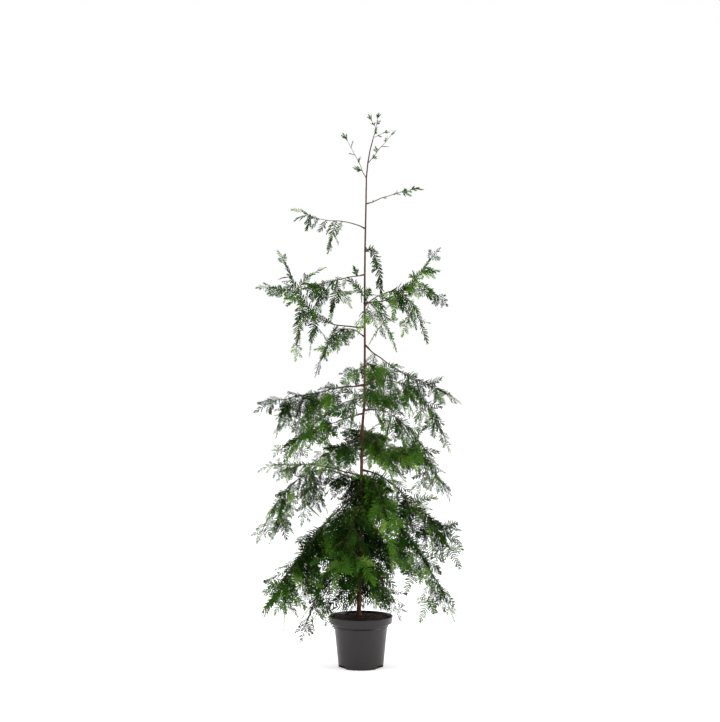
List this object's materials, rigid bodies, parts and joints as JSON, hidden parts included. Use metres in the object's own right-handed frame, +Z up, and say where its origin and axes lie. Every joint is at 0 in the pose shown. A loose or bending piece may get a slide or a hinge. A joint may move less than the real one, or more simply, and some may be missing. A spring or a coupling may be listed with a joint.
{
  "type": "potted dawn redwood",
  "caption": "Young dawn redwood in a round nursery pot: tapering trunk, arching boughs and hanging sprays of flat needles, standing on the pot's flat base.",
  "frame": {"origin": "centre of the pot's flat underside, on the surface it stands on", "axes": "+Z up along the trunk; the picture's camera looks along +Y, with +X to its right"},
  "size_m": [0.6941, 0.6279, 1.8168],
  "materials": {
    "bark": "thin fissured reddish brown bark",
    "twig_bark": "smooth young bark",
    "needles": "soft flat needles, satin above",
    "peat": "loose moist peat",
    "pot_plastic": "satin moulded polypropylene"
  },
  "bodies": {
    "root": {"bough_front_3": "twig_bark", "bough_front_4": "twig_bark", "bough_left_10": "twig_bark", "bough_left_11": "twig_bark", "bough_left_12": "twig_bark", "bough_left_2": "twig_bark", "bough_left_3": "twig_bark", "bough_left_4": "twig_bark", "bough_left_5": "twig_bark", "bough_left_6": "twig_bark", "bough_left_8": "twig_bark", "bough_right_11": "twig_bark", "bough_right_12": "twig_bark", "bough_right_13": "twig_bark", "bough_right_2": "twig_bark", "bough_right_4": "twig_bark", "bough_right_5": "twig_bark", "bough_right_7": "twig_bark", "bough_right_8": "twig_bark", "bough_right_9": "twig_bark", "foliage_back_1": "needles", "foliage_back_2": "needles", "foliage_back_3": "needles", "foliage_back_4": "needles", "foliage_back_5": "needles", "foliage_front_1": "needles", "foliage_front_2": "needles", "foliage_front_3": "needles", "foliage_front_4": "needles", "foliage_leader": "needles", "foliage_left_1": "needles", "foliage_left_10": "needles", "foliage_left_11": "needles", "foliage_left_12": "needles", "foliage_left_13": "needles", "foliage_left_2": "needles", "foliage_left_3": "needles", "foliage_left_4": "needles", "foliage_left_5": "needles", "foliage_left_6": "needles", "foliage_left_7": "needles", "foliage_left_8": "needles", "foliage_left_9": "needles", "foliage_right_1": "needles", "foliage_right_10": "needles", "foliage_right_11": "needles", "foliage_right_12": "needles", "foliage_right_13": "needles", "foliage_right_14": "needles", "foliage_right_2": "needles", "foliage_right_3": "needles", "foliage_right_4": "needles", "foliage_right_5": "needles", "foliage_right_6": "needles", "foliage_right_7": "needles", "foliage_right_8": "needles", "foliage_right_9": "needles", "peat": "peat", "pot": "pot_plastic", "trunk": "bark"}
  },
  "joints": []
}
